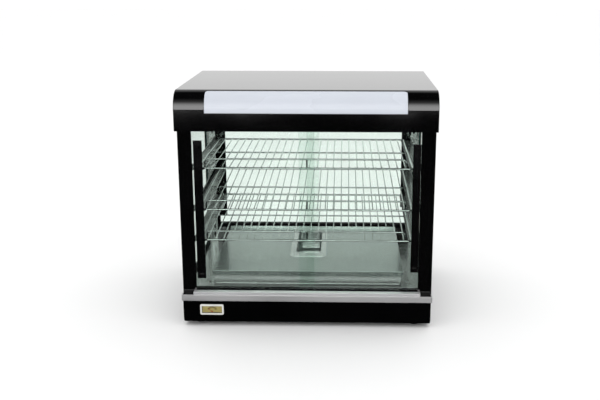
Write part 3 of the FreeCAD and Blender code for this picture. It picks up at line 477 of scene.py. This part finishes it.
def shelf(level):
    """Welded wire shelf: a frame, cross wires on top, a support below and a raised front guard."""
    node = "shelf_" + level
    low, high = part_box(node)
    left, right = low.x + FRAME_WIRE, high.x - FRAME_WIRE
    near, z = low.y + FRAME_WIRE, low.z + FRAME_WIRE
    far = near + SHELF_RUN
    middle = (left + right) / 2
    shape = bmesh.new()
    loop = [Vector(at) for at in ((left, near, z), (right, near, z), (right, far, z), (left, far, z))]
    wire(shape, route_round(loop, FRAME_BEND, closed=True), FRAME_WIRE, closed=True)
    over = z + FRAME_WIRE + CROSS_WIRE - WELD_SINK
    under = over - CROSS_WIRE - SUPPORT_WIRE + WELD_SINK
    half = (near + far) / 2
    pitch = (right - left) / (CROSS_COUNT + 1)
    for i in range(1, CROSS_COUNT + 1):
        x = left + i * pitch
        rod(shape, (x, near - MM, over), (x, far + MM, over), CROSS_WIRE, 10)
        for y, floor in ((near, z + FRAME_WIRE), (far, z + FRAME_WIRE), (half, under + SUPPORT_WIRE)):
            bead(shape, Vector((x, y, floor - 0.2 * MM)), CROSS_WELD)
    rod(shape, (left, half, under), (right, half, under), SUPPORT_WIRE)
    top = z + GUARD_HEIGHT
    ends = (left + GUARD_INSET, right - GUARD_INSET)
    guard = [Vector((ends[0], near, z)), Vector((ends[0], near, top)), Vector((ends[1], near, top)),
             Vector((ends[1], near, z))]
    wire(shape, route_round(guard, GUARD_BEND), GUARD_WIRE)
    stub = middle + STUB_OFFSET
    rod(shape, (stub, near, z), (stub, near, top), GUARD_WIRE)
    for x in (*ends, stub):
        bead(shape, Vector((x, near, z + FRAME_WIRE * 0.8)), GUARD_WELD)
    tilt = Matrix.Rotation(math.atan2(SHELF_RISE[level], SHELF_RUN), 4, "X")
    pivot = Vector((0, near, z))
    place = Matrix.Translation(pivot) @ tilt @ Matrix.Translation(-pivot)
    bmesh.ops.transform(shape, matrix=place, verts=shape.verts)
    return piece(node + "_wires", shape, "chrome_wire", node, [node])


# ---------------------------------------------------------------- screws

HEAD_PROFILE = [(4.0, 0.0), (4.0, 0.7), (3.7, 1.35), (3.0, 1.85), (1.9, 2.12), (0.9, 2.2)]   # mm
HEAD_WIDTH = 8 * MM
SHANK_RADIUS = 2 * MM
BEYOND_SHANK = 3 * MM            # points further out than this belong to the head
RECESS_HALF = 2.2 * MM
RECESS_SLOT = 0.42 * MM
RECESS_FLOOR = 0.9 * MM
RECESS_TAPER = 0.45
TURN_STEP = 1.3                  # radians between one screw's recess and the next one's


def screw_head():
    """Pan head with a cross recess, standing on z = 0, in metres."""
    shape = bmesh.new()
    up, side = unit(2), unit(0)
    rings = [ring(shape, up * z * MM, up, side, r * MM, 24) for r, z in HEAD_PROFILE]
    for first, second in zip(rings, rings[1:]):
        join_rings(shape, first, second)
    shape.faces.new(list(reversed(rings[0])))
    shape.faces.new(rings[-1])
    bmesh.ops.recalc_face_normals(shape, faces=shape.faces)
    head = temporary("screw_head", shape)
    for turn in (0, 90):
        cutter = bmesh.new()
        verts = bar(cutter, (-RECESS_HALF, -RECESS_SLOT, RECESS_FLOOR), (RECESS_HALF, RECESS_SLOT, 3 * MM))
        for vert in verts:
            if vert.co.z < 2 * MM:
                vert.co.x *= RECESS_TAPER
        quarter = Matrix.Rotation(math.radians(turn), 3, "Z")
        bmesh.ops.rotate(cutter, cent=(0, 0, 0), matrix=quarter, verts=verts)
        tool = temporary("recess", cutter)
        cut = head.modifiers.new("recess", "BOOLEAN")
        cut.operation = "DIFFERENCE"
        cut.object = tool
        cut.solver = "EXACT"
        apply_modifiers(head)
        bpy.data.objects.remove(tool)
    result = bmesh.new()
    result.from_mesh(head.data)
    bpy.data.objects.remove(head)
    return result


def temporary(name, shape):
    mesh = bpy.data.meshes.new(name)
    shape.to_mesh(mesh)
    shape.free()
    obj = bpy.data.objects.new(name, mesh)
    bpy.context.scene.collection.objects.link(obj)
    return obj


def apply_modifiers(obj):
    bpy.context.view_layer.update()
    evaluated = obj.evaluated_get(bpy.context.evaluated_depsgraph_get())
    mesh = bpy.data.meshes.new_from_object(evaluated)
    obj.modifiers.clear()
    obj.data = mesh


def screw_place(points):
    """Where a screw's head stands, which way it points and how long the shank below it is."""
    low, high = corners(points)
    size = high - low
    axis = max(range(3), key=lambda i: abs(size[i] - HEAD_WIDTH))
    middle = (low + high) / 2
    head = [p[axis] for p in points
            if (p - middle - (p[axis] - middle[axis]) * unit(axis)).length > BEYOND_SHANK]
    outward = 1 if min(head) > low[axis] + 0.5 * MM else -1
    seat = middle.copy()
    seat[axis] = min(head) if outward > 0 else max(head)
    shank = seat[axis] - low[axis] if outward > 0 else high[axis] - seat[axis]
    return seat, unit(axis) * outward, shank


def unit(axis):
    vector = Vector((0, 0, 0))
    vector[axis] = 1
    return vector


def screws():
    """All screws of the cabinet in one piece, each head turned by its own amount."""
    head = screw_head()
    shape = bmesh.new()
    for index, points in enumerate(islands("screws")):
        seat, heading, shank = screw_place(points)
        turn = Matrix.Rotation(TURN_STEP * index, 4, "Z")
        place = Matrix.Translation(seat) @ heading.to_track_quat("Z", "Y").to_matrix().to_4x4() @ turn
        copied = {v: shape.verts.new(place @ v.co) for v in head.verts}
        for face in head.faces:
            shape.faces.new([copied[v] for v in face.verts])
        rod(shape, seat, seat - heading * shank, SHANK_RADIUS, 16)
    head.free()
    return piece("screw_set", shape, "screw_steel", "cabinet", ["screws"])


# ---------------------------------------------------------------- printed marks

def mark(shape, centre, angle, inner, outer, half, y, depth):
    """A short radial line on a face across Y."""
    out = Vector((math.sin(angle), 0, math.cos(angle)))
    side = Vector((out.z, 0, -out.x)) * half
    spots = [centre + out * inner - side, centre + out * outer - side,
             centre + out * outer + side, centre + out * inner + side]
    front = [shape.verts.new((p.x, y, p.z)) for p in spots]
    back = [shape.verts.new((p.x, y + depth, p.z)) for p in spots]
    join_rings(shape, front, back)
    shape.faces.new(list(reversed(front)))
    shape.faces.new(back)


DIAL_DROP = 6.5 * MM             # the pointer's axis below the middle of the face
DIAL_GAP = 0.12 * MM
MARK_DEPTH = 0.10 * MM


def dial_scale():
    """Fan of scale marks on the thermometer's face, every fourth one longer, over a ring of fine ticks."""
    low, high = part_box("thermometer_face")
    centre = Vector(((low.x + high.x) / 2, 0, (low.z + high.z) / 2 - DIAL_DROP))
    y = low.y - DIAL_GAP
    shape = bmesh.new()
    for i in range(25):
        angle = math.radians(-60 + 5 * i)
        inner, half = (10.4, 0.60) if i % 4 == 0 else (11.8, 0.30)
        mark(shape, centre, angle, inner * MM, 13.8 * MM, half * MM, y, MARK_DEPTH)
    for i in range(60):
        angle = math.radians(-59 + 2 * i)
        mark(shape, centre, angle, 9.2 * MM, 9.8 * MM, 0.24 * MM, y, MARK_DEPTH)
    return piece("dial_scale", shape, "dial_marks", "cabinet")


def knob_scale():
    """Ring of marks round the thermostat knob, and the pointer line on the knob itself."""
    low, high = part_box("thermostat_knob")
    centre = Vector(((low.x + high.x) / 2, 0, (low.z + high.z) / 2))
    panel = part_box("control_panel")[1].y
    ringed = bmesh.new()
    for i in range(13):
        angle = math.radians(22.5 * i)
        outer = 26 if i % 3 == 0 else 24.5
        mark(ringed, centre, angle, 22 * MM, outer * MM, 0.5 * MM, panel, 0.12 * MM)
    piece("knob_scale", ringed, "panel_marks", "cabinet")
    line = bmesh.new()
    mark(line, centre, 0, 6 * MM, 15.5 * MM, 0.7 * MM, high.y, 0.15 * MM)
    return piece("knob_pointer", line, "panel_marks", "thermostat_knob")


# ---------------------------------------------------------------- the object

SOFT_EDGES = {
    "hood_shell": 0.6, "base_shell": 0.5, "trim_band": 0.5, "front_sill_strip": 0.4,
    "post_front_left": 0.5, "post_front_right": 0.5, "post_rear_left": 0.5, "post_rear_right": 0.5,
    "front_lower_track": 0.4, "front_upper_track": 0.4, "rear_lower_track": 0.4, "rear_upper_track": 0.4,
    "rear_sill": 0.5, "floor_tray": 0.5, "heater_box": 0.35, "deck_plate": 0.4, "ceiling_panel": 0.4,
    "shelf_rails": 0.35, "shelf_uprights": 0.35, "side_channels": 0.4, "control_panel": 0.3,
    "hood_rear_panel": 0.3, "front_door_left_grip": 0.4, "front_door_right_grip": 0.4,
    "rear_door_left_grip": 0.4, "rear_door_right_grip": 0.4, "thermostat_knob": 0.4,
    "switch_housings": 0.3, "power_rocker": 0.4, "lamp_rocker": 0.4, "cable_gland": 0.5, "feet": 0.8,
    "sign_panel": 0.3, "water_pan": 0.3, "lamp_holders": 0.4, "lamp_ballast": 0.4, "terminal_block": 0.3,
}


FINISH_OF = {"side_glass_left": "side_glass", "side_glass_right": "side_glass", "base_shell": "base_enamel"}


def finish_cad_nodes():
    for node, slot in SLOT_OF.items():
        dress(nodes[node], FINISH_OF.get(node, slot))
    for node, width in SOFT_EDGES.items():
        rounded(node, width, finish=FINISH_OF.get(node))


# ---------------------------------------------------------------- stage, light and camera

def floor():
    bpy.ops.mesh.primitive_plane_add(size=40)
    plane = bpy.context.object
    plane.name = "floor"
    mat, tree, shader = new_material("pale_floor")
    tint = two_colours(tree, noise(tree, 1.5), (0.90, 0.90, 0.90), (0.92, 0.92, 0.92))
    tree.links.new(tint, shader.inputs["Base Color"])
    shader.inputs["Roughness"].default_value = 0.9
    plane.data.materials.append(mat)
    plane.visible_glossy = False


def softbox(name, place_at, target, size, power):
    light = bpy.data.lights.new(name, "AREA")
    light.shape = "RECTANGLE"
    light.size, light.size_y = size
    light.energy = power
    obj = bpy.data.objects.new(name, light)
    bpy.context.scene.collection.objects.link(obj)
    obj.location = place_at
    obj.visible_glossy = False
    aim = Vector(target) - Vector(place_at)
    obj.rotation_euler = aim.to_track_quat("-Z", "Y").to_euler()
    return obj


SURROUNDINGS = 1.15              # strength of the even white
FRONT_PANEL = 3.3
REAR_PANEL = (0.9, 1.35)         # strength towards the front and towards the rear
STUDIO_GLOW = 0.012              # strength of the dark studio itself


def world():
    """Even white surroundings; in mirrors, a bright band of panels round the horizon in a dark studio."""
    sky = bpy.data.worlds.new("studio")
    bpy.context.scene.world = sky
    sky.use_nodes = True
    tree = sky.node_tree
    even = tree.nodes["Background"]
    even.inputs["Color"].default_value = (1, 1, 1, 1)
    even.inputs["Strength"].default_value = SURROUNDINGS
    coords = tree.nodes.new("ShaderNodeTexCoord")
    height = axis_part(tree, coords.outputs["Generated"], "Z")
    depth = axis_part(tree, coords.outputs["Generated"], "Y")
    above = spread(tree, height, 0, 1, -0.148, -0.132, smooth=True)
    width = axis_part(tree, coords.outputs["Generated"], "X")
    narrow = spread(tree, maths(tree, "ABSOLUTE", width), 1, 0, 0.25, 0.45, smooth=True)
    front = maths(tree, "MULTIPLY", spread(tree, height, 1, 0, 0.30, 0.72, smooth=True),
                  spread(tree, depth, FRONT_PANEL, 0, -0.35, 0.0, smooth=True))
    front = maths(tree, "MULTIPLY", front, narrow)
    fall = maths(tree, "MULTIPLY", spread(tree, height, 1, 0.4, 0.19, 0.33, smooth=True),
                 spread(tree, height, 1, 0, 0.66, 0.92, smooth=True))
    behind = maths(tree, "MULTIPLY", fall, spread(tree, depth, *REAR_PANEL, -0.6, 0.3, smooth=True))
    panels = maths(tree, "MULTIPLY", maths(tree, "ADD", front, behind), above)
    studio = tree.nodes.new("ShaderNodeBackground")
    tree.links.new(maths(tree, "ADD", panels, STUDIO_GLOW), studio.inputs["Strength"])
    paths = tree.nodes.new("ShaderNodeLightPath")
    both = tree.nodes.new("ShaderNodeMixShader")
    tree.links.new(paths.outputs["Is Glossy Ray"], both.inputs["Fac"])
    tree.links.new(even.outputs["Background"], both.inputs[1])
    tree.links.new(studio.outputs["Background"], both.inputs[2])
    tree.links.new(both.outputs["Shader"], tree.nodes["World Output"].inputs["Surface"])


LENS = 52.38                     # mm, on a 36 mm sensor
SIDE_SHIFT = -0.11 / 3           # share of the picture's width
CAMERA_AT = (0.0967, -2.3955, 0.9102)
LOOK_DOWN = 0.2567               # radians
LOOK_LEFT = 0.02626


def camera():
    data = bpy.data.cameras.new("camera")
    data.lens = LENS
    data.sensor_width = 36
    data.shift_x = SIDE_SHIFT
    obj = bpy.data.objects.new("camera", data)
    bpy.context.scene.collection.objects.link(obj)
    obj.location = CAMERA_AT
    obj.rotation_euler = (math.pi / 2 - LOOK_DOWN, 0, LOOK_LEFT)
    bpy.context.scene.camera = obj


camera()
finish_cad_nodes()
for level in SHELF_RISE:
    shelf(level)
screws()
dial_scale()
knob_scale()
floor()
world()
softbox("overhead", (0, -0.4, 2.8), (0, 0, 0.3), (2.6, 1.8), 10)
bpy.context.scene.view_settings.view_transform = "Standard"
